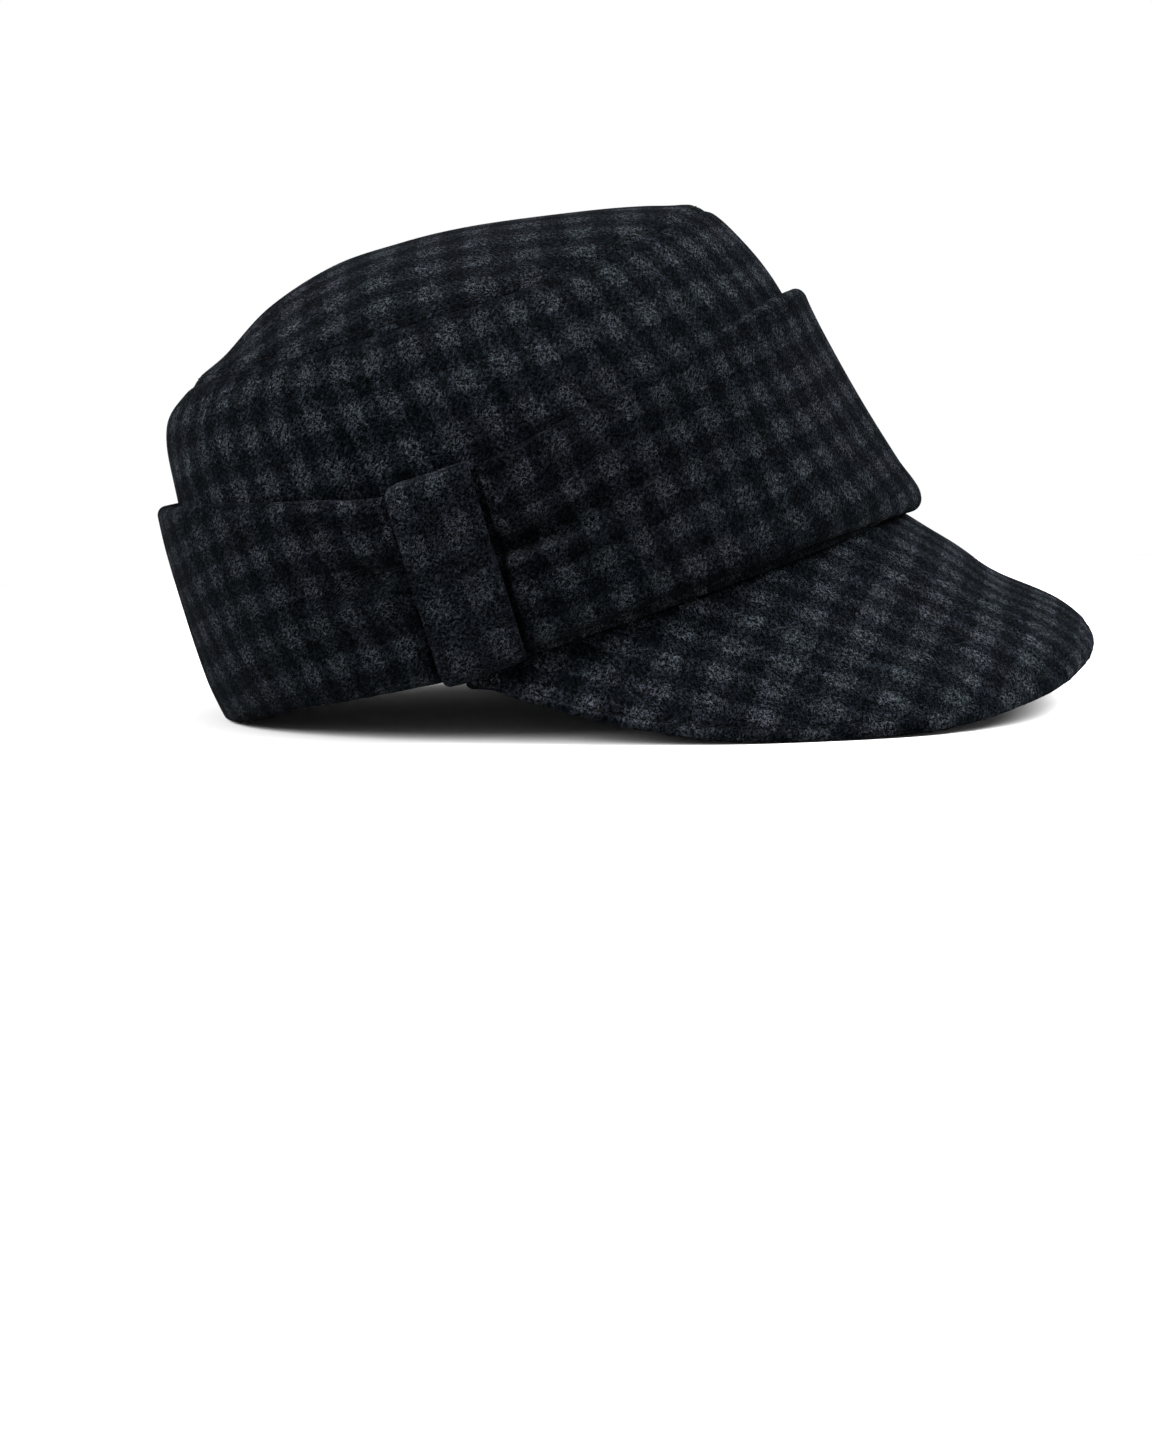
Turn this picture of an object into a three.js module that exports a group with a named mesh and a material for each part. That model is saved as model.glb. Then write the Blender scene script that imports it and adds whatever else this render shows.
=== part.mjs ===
// A soft peaked cap of brushed checked wool with a deep cuff turned up all round it. The cuff dips to a
// keeper loop on each side, and the cap rests on the back of its cuff and on the two low sides of its peak.
//
// The cap's own frame: millimetres, +Z up out of the crown, the peak toward -Y, the sewn edge near z = 0.
// A ring angle is 0 at the front, 90 at a side and 180 at the back. The whole cap is tilted last, as it lies.
import * as THREE from 'three';

// Cloth and clearances
const WOOL = 2.2;
const LOOP_WOOL = 1.8;
const PEAK_TOP_WOOL = 1.6;
const PEAK_UNDER_WOOL = 1.3;
const GAP = 0.3;
const CUFF_FOOT = 1.8;

// How the cap lies: the tilt of its sewn edge, and how far the cloth is pressed flat where it touches
const REST_TILT = 15.5;
const PRESSED_FLAT = 1.1;

// The head is a little wider behind its middle than in front of it
const EGG = 0.03;

// The crown from its sewn edge up its wall, over the seam and on to the middle of the tip. front and back are
// the places where a ring crosses the middle line, half is its half width, and the heights are along the ring.
const CROWN_ROWS = [
  { front: 104.0, back: -104.0, half: 84.5, frontZ: 0, sideZ: 0, backZ: 0 },
  { front: 96.6, back: -105.2, half: 85.0, frontZ: 36, sideZ: 36, backZ: 36 },
  { front: 89.7, back: -104.3, half: 81.5, frontZ: 70, sideZ: 67, backZ: 70 },
  { front: 83.4, back: -100.3, half: 74.0, frontZ: 91, sideZ: 84, backZ: 90 },
  { front: 74.0, back: -89.4, half: 65.0, frontZ: 106.0, sideZ: 96.5, backZ: 100.5 },
  { front: 60.5, back: -77.5, half: 55.0, frontZ: 110.6, sideZ: 105.2, backZ: 106.4 },
  { front: 38.5, back: -60.0, half: 39.0, frontZ: 115.6, sideZ: 114.4, backZ: 116.2 },
  { front: 12.0, back: -37.5, half: 19.5, frontZ: 120.2, sideZ: 120.8, backZ: 122.3 },
  { front: -15.0, back: -15.0, half: 0.0, frontZ: 122.8, sideZ: 122.8, backZ: 122.8 },
];
const SEAM_ROW = 4;
const TIP_MIDDLE_ROW = CROWN_ROWS.length - 1;

// The cuff's outer face by share of its height
const CUFF_ROWS = [
  { share: 0.00, front: 111.6, back: -110.2, half: 91.4 },
  { share: 0.08, front: 112.3, back: -111.2, half: 92.0 },
  { share: 0.22, front: 108.6, back: -112.5, half: 91.6 },
  { share: 0.50, front: 102.8, back: -113.0, half: 90.6 },
  { share: 0.80, front: 98.0, back: -112.6, half: 89.4 },
  { share: 1.00, front: 95.8, back: -111.4, half: 88.4 },
];

// Round the ring: the heights of the cuff's lower fold, upper fold and sewn foot, and its thickness
const HEIGHT_ROWS = [
  { angle: 0, fold: 0.6, top: 75.4, foot: 3.3, thickness: 7.6 },
  { angle: 28, fold: 3.2, top: 74.2, foot: 2.9, thickness: 6.8 },
  { angle: 45, fold: 4.8, top: 70.4, foot: 2.4, thickness: 5.6 },
  { angle: 65, fold: 4.6, top: 64.6, foot: 1.7, thickness: 5.4 },
  { angle: 82, fold: 3.6, top: 58.4, foot: 0.8, thickness: 5.4 },
  { angle: 96, fold: 2.0, top: 54.0, foot: 0.1, thickness: 5.4 },
  { angle: 110, fold: 0.2, top: 53.4, foot: -0.5, thickness: 5.4 },
  { angle: 124, fold: 1.2, top: 58.6, foot: 1.6, thickness: 5.4 },
  { angle: 142, fold: 2.2, top: 64.6, foot: 3.0, thickness: 5.4 },
  { angle: 160, fold: 0.7, top: 67.6, foot: 1.6, thickness: 5.4 },
  { angle: 180, fold: 0.0, top: 68.6, foot: 0.8, thickness: 5.4 },
];

// The peak's length down its slope by ring angle. It ends behind the keeper loops.
const PEAK_ROWS = [
  { angle: 0, reach: 72.4, curl: 5.0 },
  { angle: 24, reach: 73.2, curl: 4.4 },
  { angle: 42, reach: 74.2, curl: 3.4 },
  { angle: 60, reach: 70.4, curl: 2.6 },
  { angle: 73, reach: 62.2, curl: 2.0 },
  { angle: 85, reach: 50.4, curl: 1.4 },
  { angle: 96, reach: 33.2, curl: 1.0 },
  { angle: 104, reach: 15.4, curl: 0.4 },
  { angle: 109.5, reach: 2.0, curl: 0.0 },
];
const PEAK_END_ANGLE = 109.5;
const PEAK_SLOPE = 47.6;
const PEAK_FLARE = 0.5;
const CURL_POWER = 14;
const PEAK_ROOT_BEND = 6;

// A keeper loop's two edges round the ring, and its upper end tucked behind the cuff's top
const LOOP_FROM = 95.8;
const LOOP_TO = 108.9;
const LOOP_TUCK = 9;
const LOOP_TUCK_ROOM = 2.4;
const LOOP_TUCK_FADE = 5;

// The pinch at each loop: a valley across the cuff with a lip above and below it, dying away to each side.
// fade is in degrees round the ring from the loop's edge, and the other columns are millimetres.
const PINCH = { valleyZ: 30.5, depth: 3.2, halfHeight: 4.2 };
const PINCH_SIDES = {
  front: { fade: 15, valleyRise: 0.0, lowLipZ: 25.4, lowLip: 0.9, highLipZ: 36.6, highLip: 0.8 },
  back: { fade: 14, valleyRise: 0.22, lowLipZ: 24.5, lowLip: 1.6, highLipZ: 40.0, highLip: 0.0 },
};
const LIP_HALF_HEIGHT = 4.0;
const LIP_CLEAR = 0.6;
const LIP_GROW = 3;

const RING_STEPS = 64;
const TRIM = 0.15;
const colour = 0x23272c;

const radians = THREE.MathUtils.degToRad;
const radiansToDegrees = THREE.MathUtils.radToDeg;
const lerp = THREE.MathUtils.lerp;
const clamp = THREE.MathUtils.clamp;

// The same angle on the half ring that the tables describe
function foldedAngle(angle) {
  const turn = THREE.MathUtils.euclideanModulo(angle, 360);
  return turn > 180 ? 360 - turn : turn;
}

// A smooth value between four neighbours
function smooth(a, b, c, d, t) {
  const rise = 0.5 * (c - a);
  const next = 0.5 * (d - b);
  const t2 = t * t;
  const t3 = t2 * t;
  return (2 * t3 - 3 * t2 + 1) * b + (t3 - 2 * t2 + t) * rise + (3 * t2 - 2 * t3) * c + (t3 - t2) * next;
}

// A row between two rows of a table, by row number
function rowAt(rows, place) {
  const last = rows.length - 1;
  const i = clamp(Math.floor(place), 0, last - 1);
  const t = place - i;
  const row = {};
  for (const name of Object.keys(rows[0])) {
    const b = rows[i][name];
    const c = rows[i + 1][name];
    const a = i > 0 ? rows[i - 1][name] : 2 * b - c;
    const d = i + 2 <= last ? rows[i + 2][name] : 2 * c - b;
    row[name] = smooth(a, b, c, d, t);
  }
  return row;
}

// A row of a table whose first column is the key, evened for unequal steps
function rowByKey(rows, key, value) {
  let i = 0;
  while (i < rows.length - 2 && value > rows[i + 1][key]) i += 1;
  const step = rows[i + 1][key] - rows[i][key];
  const t = clamp((value - rows[i][key]) / step, 0, 1);
  const row = {};
  for (const name of Object.keys(rows[0])) {
    const slopeAt = (j) => {
      const lo = Math.max(j - 1, 0);
      const hi = Math.min(j + 1, rows.length - 1);
      return (rows[hi][name] - rows[lo][name]) / (rows[hi][key] - rows[lo][key]);
    };
    const b = rows[i][name];
    const c = rows[i + 1][name];
    const atEnds = key === 'angle';
    const m0 = atEnds && i === 0 ? 0 : slopeAt(i) * step;
    const m1 = atEnds && i + 1 === rows.length - 1 && value > 170 ? 0 : slopeAt(i + 1) * step;
    const t2 = t * t;
    const t3 = t2 * t;
    row[name] = (2 * t3 - 3 * t2 + 1) * b + (t3 - 2 * t2 + t) * m0 + (3 * t2 - 2 * t3) * c + (t3 - t2) * m1;
  }
  return row;
}

// A point of an oval ring that crosses the middle line at front and back
function ovalPoint(angle, front, back, half, z) {
  const a = radians(angle);
  const middle = (front + back) / 2;
  const reach = (front - back) / 2;
  const x = -half * Math.sin(a) * (1 - EGG * Math.cos(a));
  return new THREE.Vector3(x, -(middle + reach * Math.cos(a)), z);
}

function crownPoint(angle, place) {
  const row = rowAt(CROWN_ROWS, place);
  const c = Math.cos(radians(angle));
  const end = c > 0 ? row.frontZ : row.backZ;
  return ovalPoint(angle, row.front, row.back, row.half, end * c * c + row.sideZ * (1 - c * c));
}

// The crown wall's place, in rows, at a height
function crownPlaceAt(angle, height) {
  let low = -0.2;
  let high = SEAM_ROW;
  for (let i = 0; i < 30; i += 1) {
    const middle = (low + high) / 2;
    if (crownPoint(angle, middle).z < height) low = middle;
    else high = middle;
  }
  return low;
}

// The outward direction of a surface given by two numbers
function surfaceNormal(pointAt, u, v, du, dv, outward) {
  const across = pointAt(u + du, v).sub(pointAt(u - du, v));
  const along = pointAt(u, v + dv).sub(pointAt(u, v - dv));
  const normal = across.cross(along).normalize();
  return normal.dot(outward) < 0 ? normal.negate() : normal;
}

function crownNormal(angle, place) {
  if (place > TIP_MIDDLE_ROW - 0.02) return new THREE.Vector3(0, 0, 1);
  const point = crownPoint(angle, place);
  const outward = new THREE.Vector3(point.x, point.y, Math.max(point.z - 40, 0));
  return surfaceNormal(crownPoint, angle, place, 0.5, 0.01, outward);
}

function heights(angle) {
  return rowByKey(HEIGHT_ROWS, 'angle', foldedAngle(angle));
}

// Cloth that closes on itself: rows of points, each row a ring or an open line
function meshFromGrid(rows, wrapAcross, wrapAlong) {
  const width = rows[0].length;
  const positions = rows.flat().flatMap((p) => [p.x, p.y, p.z]);
  const faces = [];
  const rowCount = wrapAlong ? rows.length : rows.length - 1;
  const columnCount = wrapAcross ? width : width - 1;
  for (let r = 0; r < rowCount; r += 1) {
    for (let c = 0; c < columnCount; c += 1) {
      const r1 = (r + 1) % rows.length;
      const c1 = (c + 1) % width;
      const a = r * width + c;
      const b = r * width + c1;
      const d = r1 * width + c;
      const e = r1 * width + c1;
      faces.push(a, b, e, a, e, d);
    }
  }
  return { positions, faces };
}

// Turns the faces outward, told by the sign of the enclosed volume
function closedGeometry({ positions, faces }) {
  const at = (i) => new THREE.Vector3().fromArray(positions, i * 3);
  let volume = 0;
  for (let i = 0; i < faces.length; i += 3) {
    volume += at(faces[i]).dot(at(faces[i + 1]).cross(at(faces[i + 2])));
  }
  const index = [...faces];
  if (volume < 0) {
    for (let i = 0; i < index.length; i += 3) [index[i + 1], index[i + 2]] = [index[i + 2], index[i + 1]];
  }
  const geometry = new THREE.BufferGeometry();
  geometry.setAttribute('position', new THREE.Float32BufferAttribute(positions, 3));
  geometry.setIndex(index);
  geometry.computeVertexNormals();
  return geometry;
}

// An open sheet with thickness: two faces and a border that joins them
function sheetGeometry(topRows, bottomRows) {
  const loops = topRows.map((row, i) => [...row, ...[...bottomRows[i]].reverse()]);
  const tube = meshFromGrid(loops, true, false);
  const width = topRows[0].length;
  const ring = 2 * width;
  const lastStart = (loops.length - 1) * ring;
  for (let c = 0; c < width - 1; c += 1) {
    const far = ring - 1 - c;
    tube.faces.push(c, far, far - 1, c, far - 1, c + 1);
    tube.faces.push(lastStart + c, lastStart + far - 1, lastStart + far);
    tube.faces.push(lastStart + c, lastStart + c + 1, lastStart + far - 1);
  }
  return closedGeometry(tube);
}

function steps(count, from, to) {
  return Array.from({ length: count + 1 }, (_, i) => lerp(from, to, i / count));
}

function ringAngles(count) {
  return Array.from({ length: count }, (_, i) => (360 * i) / count);
}

// The crown's wall, open below and above
function crownSideGeometry() {
  const shares = [0, 0.12, 0.24, 0.36, 0.47, 0.57, 0.67, 0.76, 0.84, 0.92, 1];
  const top = SEAM_ROW - TRIM / 20;
  const placeOf = (angle, share) => {
    const start = crownPlaceAt(angle, heights(angle).foot + CUFF_FOOT + GAP);
    return lerp(start, top, share);
  };
  const outer = shares.map((share) => ringAngles(RING_STEPS).map((a) => crownPoint(a, placeOf(a, share))));
  const inner = shares.map((share) => ringAngles(RING_STEPS).map((a) => {
    const place = placeOf(a, share);
    const normal = crownNormal(a, place);
    if (share === 0) normal.setZ(0).normalize();
    return crownPoint(a, place).addScaledVector(normal, -WOOL);
  }));
  return closedGeometry(meshFromGrid([...outer, ...inner.reverse()], true, true));
}

// The crown's domed tip, which meets the wall at the seam
function crownTipGeometry() {
  const places = steps(6, SEAM_ROW + TRIM / 14, TIP_MIDDLE_ROW - 0.25);
  const outer = places.map((p) => ringAngles(RING_STEPS).map((a) => crownPoint(a, p)));
  const inner = places.map((p) => ringAngles(RING_STEPS).map((a) => (
    crownPoint(a, p).addScaledVector(crownNormal(a, p), -WOOL)
  )));
  const grid = meshFromGrid([...[...outer].reverse(), ...inner], true, false);
  const middle = crownPoint(0, TIP_MIDDLE_ROW);
  const under = middle.clone().setZ(middle.z - WOOL);
  const pole = grid.positions.length / 3;
  grid.positions.push(middle.x, middle.y, middle.z, under.x, under.y, under.z);
  const lastRow = (2 * places.length - 1) * RING_STEPS;
  for (let i = 0; i < RING_STEPS; i += 1) {
    const next = (i + 1) % RING_STEPS;
    grid.faces.push(pole, next, i);
    grid.faces.push(pole + 1, lastRow + i, lastRow + next);
  }
  return closedGeometry(grid);
}

// How many degrees beyond a keeper loop's nearer edge a ring angle lies
function beyondLoop(angle) {
  const folded = foldedAngle(angle);
  return Math.max(LOOP_FROM - folded, folded - LOOP_TO, 0);
}

// How far the cuff's face stands out or in at the pinches beside a keeper loop
function pinch(angle, z) {
  const side = foldedAngle(angle) < (LOOP_FROM + LOOP_TO) / 2 ? PINCH_SIDES.front : PINCH_SIDES.back;
  const beyond = beyondLoop(angle);
  const fade = Math.exp(-((beyond / side.fade) ** 2));
  const hump = (at, halfHeight) => Math.exp(-(((z - at) / halfHeight) ** 2));
  const valley = PINCH.depth * hump(PINCH.valleyZ + side.valleyRise * beyond, PINCH.halfHeight);
  const grow = clamp((beyond - LIP_CLEAR) / LIP_GROW, 0, 1);
  const lowLip = side.lowLip * hump(side.lowLipZ, LIP_HALF_HEIGHT);
  const highLip = side.highLip * hump(side.highLipZ, LIP_HALF_HEIGHT);
  return fade * (grow * (lowLip + highLip) - valley);
}

// The room left behind the cuff's top for a loop's tucked end
function tuckRoom(angle, z, top) {
  const sideways = clamp(1.4 - beyondLoop(angle) / LOOP_TUCK_FADE, 0, 1);
  const upward = clamp((z - (top - LOOP_TUCK - 6)) / 4, 0, 1);
  return LOOP_TUCK_ROOM * sideways * upward;
}

function cuffRowAtShare(share) {
  return rowByKey(CUFF_ROWS, 'share', clamp(share, 0, 1));
}

// The ring angle, at a height, of a cut that stands upright across the cap at the sides and follows a ring
// angle at the front and back. The cuff's rings shift back as they rise, so an upright cut changes its angle.
function cutAngle(angle, row) {
  const sine = Math.sin(radians(angle));
  const upright = clamp(2 * sine * sine - 0.5, 0, 1);
  const half = cuffRowAtShare(0.5);
  const forward = (half.front + half.back) / 2 + ((half.front - half.back) / 2) * Math.cos(radians(angle));
  const cosine = (forward - (row.front + row.back) / 2) / ((row.front - row.back) / 2);
  const turn = Math.sign(sine) * radiansToDegrees(Math.acos(clamp(cosine, -1, 1)));
  return lerp(angle > 180 ? angle - 360 : angle, turn, upright);
}

// The cuff cut across: a list of points round it, and where a loop's path starts and ends on it
function cuffSection(angle, pinched) {
  const { fold, top, foot, thickness } = heights(angle);
  const face = (z) => {
    const row = cuffRowAtShare((z - fold) / (top - fold));
    return ovalPoint(cutAngle(angle, row), row.front, row.back, row.half, z);
  };
  const wall = (z) => {
    const turn = cutAngle(angle, cuffRowAtShare((z - fold) / (top - fold)));
    return crownPoint(turn, crownPlaceAt(turn, z));
  };
  const outwardAt = (z) => face(z).sub(wall(z)).setZ(0);
  // Points are given by how far they stand off the crown's wall
  const place = (z, off) => wall(z).setZ(z).addScaledVector(outwardAt(z).normalize(), off);
  const outer = (z) => outwardAt(z).length();
  const room = (z) => GAP + 0.1 + tuckRoom(angle, z, top);
  const inner = (z) => Math.max(room(z), outer(z) - thickness);
  const rollHeight = 3;
  const footInner = -WOOL;
  const lowZ = Math.max(fold + rollHeight, foot + CUFF_FOOT + 1);
  const points = [place(foot, footInner), place(foot, inner(lowZ) + 0.2)];
  const roll = (centreZ, from, to, count) => {
    const half = (outer(centreZ) - inner(centreZ)) / 2;
    const middle = (outer(centreZ) + inner(centreZ)) / 2;
    for (const turn of steps(count, from, to)) {
      const z = centreZ + rollHeight * Math.sin(radians(turn));
      points.push(place(centreZ, middle + half * Math.cos(radians(turn))).setZ(z));
    }
  };
  const loopEnd = points.length + 1;
  roll(fold + rollHeight, 205, 345, 4);
  const from = fold + rollHeight + 1;
  const to = top - rollHeight;
  for (const share of [0, 0.12, 0.24, 0.33, 0.40, 0.46, 0.52, 0.58, 0.66, 0.78, 0.9]) {
    const z = lerp(from, to, share);
    const shift = pinched ? pinch(angle, z) : 0;
    points.push(place(z, Math.max(outer(z) + shift, inner(z) + 1.2)));
  }
  roll(top - rollHeight, 0, 180, 4);
  const loopStart = points.length;
  for (const z of [top - LOOP_TUCK, top - 22, lerp(foot, top, 0.35), foot + CUFF_FOOT + 4]) {
    points.push(place(z, inner(z)));
  }
  points.push(place(foot + CUFF_FOOT, inner(lowZ)), place(foot + CUFF_FOOT, footInner));
  return { points, loopStart, loopEnd };
}

// More sections where the cuff is pinched
function cuffAngles() {
  const half = [0, 8, 16, 24, 32, 40, 48, 56, 63, 70, 76, 81, 86, 90, 93.5, LOOP_FROM, 100, 104.5,
    LOOP_TO, 111.5, 115.5, 120, 125, 131, 138, 145, 152, 159, 166, 173, 180];
  const other = half.slice(1, -1).reverse().map((a) => 360 - a);
  return [...half, ...other];
}

function cuffGeometry() {
  const rings = cuffAngles().map((a) => cuffSection(a, true).points);
  return closedGeometry(meshFromGrid(rings, true, true));
}

// A loop follows the cuff's cut outline, one cloth's thickness further out
function keeperLoopGeometry(side) {
  const inner = [];
  const outer = [];
  for (const angle of steps(4, LOOP_FROM, LOOP_TO)) {
    const { points, loopStart, loopEnd } = cuffSection(side * angle, false);
    const path = points.slice(loopEnd, loopStart + 1);
    const around = new THREE.Vector3(-points[0].y, points[0].x, 0).normalize();
    const offsetLine = (distance) => path.map((p, i) => {
      const along = path[Math.min(i + 1, path.length - 1)].clone().sub(path[Math.max(i - 1, 0)]);
      return p.clone().addScaledVector(around.clone().cross(along).normalize(), distance);
    });
    inner.push(offsetLine(GAP + 0.1));
    outer.push(offsetLine(GAP + 0.1 + LOOP_WOOL));
  }
  return sheetGeometry(outer, inner);
}

// The peak's upper face: a ring angle, and a distance from the sewn edge down the slope
function peakPoint(angle, distance) {
  const signed = angle > 180 ? angle - 360 : angle;
  const { reach, curl } = rowByKey(PEAK_ROWS, 'angle', Math.abs(signed));
  const { front, back, half } = CROWN_ROWS[0];
  const z = heights(angle).foot - GAP;
  const root = ovalPoint(angle, front, back, half, z);
  const around = ovalPoint(angle + 0.1, front, back, half, z).sub(ovalPoint(angle - 0.1, front, back, half, z));
  const out = new THREE.Vector3(-around.y, around.x, 0).normalize();
  if (out.dot(new THREE.Vector3(root.x, root.y, 0)) < 0) out.negate();
  if (distance <= 0) return root.addScaledVector(out, distance);
  const ahead = new THREE.Vector3(0, -1, 0);
  const away = ahead.lerp(out, PEAK_FLARE).normalize();
  const slope = radians(PEAK_SLOPE);
  const bend = curl * (distance / reach) ** CURL_POWER;
  const flat = distance * Math.cos(slope) - bend * Math.sin(slope);
  const drop = distance * Math.sin(slope) + bend * Math.cos(slope);
  root.addScaledVector(away, flat);
  root.z -= drop;
  return root;
}

// One layer of the peak, from a depth under its upper face down by its thickness
function peakGeometry(depth, thickness) {
  const angles = steps(36, -PEAK_END_ANGLE, PEAK_END_ANGLE);
  const shares = [0.08, 0.4, 0.7, 0.84, 0.91, 0.96, 1];
  const layer = (below) => angles.map((angle) => {
    const { reach } = rowByKey(PEAK_ROWS, 'angle', Math.abs(angle));
    const distances = [-WOOL, 0, ...shares.map((s) => s * reach)];
    return distances.map((distance) => {
      const sample = Math.max(distance, 0.6);
      const up = new THREE.Vector3(0, 0, 1);
      const upAndOut = new THREE.Vector3(-Math.sin(radians(angle)), -Math.cos(radians(angle)), 1);
      const normal = surfaceNormal(peakPoint, angle, sample, 0.3, 0.3, upAndOut);
      const lean = clamp((distance + WOOL) / (WOOL + PEAK_ROOT_BEND), 0, 1);
      const down = up.clone().lerp(normal, lean).normalize();
      return peakPoint(angle, distance).addScaledVector(down, -below);
    });
  });
  return sheetGeometry(layer(depth), layer(depth + thickness));
}

const wool = () => new THREE.MeshStandardMaterial({ color: colour, roughness: 0.95, metalness: 0 });

function piece(name, geometry) {
  const mesh = new THREE.Mesh(geometry, wool());
  mesh.name = name;
  return mesh;
}

const cap = new THREE.Group();
cap.add(
  piece('crown_side', crownSideGeometry()),
  piece('crown_tip', crownTipGeometry()),
  piece('cuff', cuffGeometry()),
  piece('keeper_loop_right', keeperLoopGeometry(1)),
  piece('keeper_loop_left', keeperLoopGeometry(-1)),
  piece('peak_top', peakGeometry(0, PEAK_TOP_WOOL)),
  piece('peak_under', peakGeometry(PEAK_TOP_WOOL + GAP, PEAK_UNDER_WOOL)),
);

// Lays the cap down: tilted back, lowered until its cloth is pressed on the floor, and flattened there
function layDown(group) {
  const tilt = new THREE.Matrix4().makeRotationX(radians(-REST_TILT));
  const bounds = new THREE.Box3();
  for (const mesh of group.children) {
    mesh.geometry.applyMatrix4(tilt);
    mesh.geometry.computeBoundingBox();
    bounds.union(mesh.geometry.boundingBox);
  }
  const middleY = (bounds.min.y + bounds.max.y) / 2;
  const floor = new THREE.Plane(new THREE.Vector3(0, 0, 1), 0);
  for (const mesh of group.children) {
    mesh.geometry.translate(0, -middleY, -bounds.min.z - PRESSED_FLAT);
    const points = mesh.geometry.getAttribute('position');
    const point = new THREE.Vector3();
    for (let i = 0; i < points.count; i += 1) {
      point.fromBufferAttribute(points, i);
      if (point.z < 0) floor.projectPoint(point, point);
      points.setXYZ(i, point.x, point.y, point.z);
    }
    mesh.geometry.computeVertexNormals();
  }
}

layDown(cap);

export default cap;
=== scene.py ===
"""The looks of a soft peaked cap of brushed checked wool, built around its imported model.

The cap is made in its own frame, in millimetres: +Z up out of the crown, the peak toward -Y, the sewn
edge near z = 0, and ring angles from 0 at the front through 90 at the wearer's right to 180 at the back.
Each piece is then tilted and lowered as the cap lies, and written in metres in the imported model's frame.
"""

import math

import bpy
import numpy as np
from mathutils import Matrix, Vector


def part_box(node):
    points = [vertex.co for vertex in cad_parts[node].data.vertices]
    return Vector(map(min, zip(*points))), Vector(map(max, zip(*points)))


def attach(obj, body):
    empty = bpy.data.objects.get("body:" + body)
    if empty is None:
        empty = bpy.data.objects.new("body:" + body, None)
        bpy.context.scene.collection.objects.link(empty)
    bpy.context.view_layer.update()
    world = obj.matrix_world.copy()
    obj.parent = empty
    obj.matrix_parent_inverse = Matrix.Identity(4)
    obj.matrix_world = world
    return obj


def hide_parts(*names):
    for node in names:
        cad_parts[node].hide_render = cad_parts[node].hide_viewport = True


MM = 0.001

# Cloth and clearances
WOOL = 2.2
LOOP_WOOL = 1.8
PEAK_TOP_WOOL = 1.6
PEAK_UNDER_WOOL = 1.3
GAP = 0.3
CUFF_GAP = GAP + 0.1
SEWN_GAP = 0.04
CUFF_FOOT = 1.8

# How the cap lies, and how softly its cloth gives on the floor
REST_TILT = math.radians(15.5)
PRESS_SOFTNESS = 1.0

# The seam down the middle of the back: the last ring angle beside it, and its groove in millimetres
BACK_SEAM_EDGE = 179.98
BACK_SEAM_DIP = 0.5
BACK_SEAM_WIDTH = 1.3
CUFF_SEAM_DEGREES = 0.7

# How much narrower an oval is in front than behind, and the table rows of the tip's seam and middle
EGG = 0.03
SEAM_ROW = 4
TIP_MIDDLE_ROW = 8


def table(columns, *rows):
    """Named columns from rows of numbers."""
    return dict(zip(columns.split(), np.array(rows, float).T))


# The crown from its sewn edge up its wall, over the seam and on to the middle of the tip
CROWN = table(
    "front back half front_z side_z back_z",
    (104.0, -104.0, 84.5, 0, 0, 0),
    (96.6, -105.2, 85.0, 36, 36, 36),
    (89.7, -104.3, 81.5, 70, 67, 70),
    (83.4, -100.3, 74.0, 91, 84, 90),
    (74.0, -89.4, 65.0, 106.0, 96.5, 100.5),
    (60.5, -77.5, 55.0, 110.6, 105.2, 106.4),
    (38.5, -60.0, 39.0, 115.6, 114.4, 116.2),
    (12.0, -37.5, 19.5, 120.2, 120.8, 122.3),
    (-15.0, -15.0, 0.0, 122.8, 122.8, 122.8),
)

# The cuff's outer face by share of its height
CUFF = table(
    "share front back half",
    (0.00, 111.6, -110.2, 91.4),
    (0.08, 112.3, -111.2, 92.0),
    (0.22, 108.6, -112.5, 91.6),
    (0.50, 102.8, -113.0, 90.6),
    (0.80, 98.0, -112.6, 89.4),
    (1.00, 95.8, -111.4, 88.4),
)

# Round the ring: the heights of the cuff's lower fold, upper fold and sewn foot, and its thickness
HEIGHTS = table(
    "angle fold top foot thickness",
    (0, 0.6, 75.4, 3.3, 7.6),
    (28, 3.2, 74.2, 2.9, 6.8),
    (45, 4.8, 70.4, 2.4, 5.6),
    (65, 4.6, 64.6, 1.7, 5.4),
    (82, 3.6, 58.4, 0.8, 5.4),
    (96, 2.0, 54.0, 0.1, 5.4),
    (110, 0.2, 53.4, -0.5, 5.4),
    (124, 1.2, 58.6, 1.6, 5.4),
    (142, 2.2, 64.6, 3.0, 5.4),
    (160, 0.7, 67.6, 1.6, 5.4),
    (180, 0.0, 68.6, 0.8, 5.4),
)

# The peak's length down its slope by ring angle, and how far its edge curls under
PEAK = table(
    "angle reach curl",
    (0, 72.4, 5.0),
    (24, 73.2, 4.4),
    (42, 74.2, 3.4),
    (60, 70.4, 2.6),
    (73, 62.2, 2.0),
    (85, 50.4, 1.4),
    (96, 33.2, 1.0),
    (104, 15.4, 0.4),
    (109.5, 2.0, 0.0),
)
PEAK_END_ANGLE = 109.5
PEAK_SLOPE = math.radians(47.6)
PEAK_FLARE = 0.5
CURL_POWER = 14
PEAK_ROOT_BEND = 6

# A keeper loop's two edges in degrees round the ring, its width in millimetres, and its upper end tucked
# behind the cuff's top, with room that fades over some degrees beside it
LOOP_FROM = 95.8
LOOP_TO = 108.9
LOOP_WIDTH = 24.8
LOOP_TUCK = 9
LOOP_TUCK_ROOM = 2.4
LOOP_TUCK_FADE = 5

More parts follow.
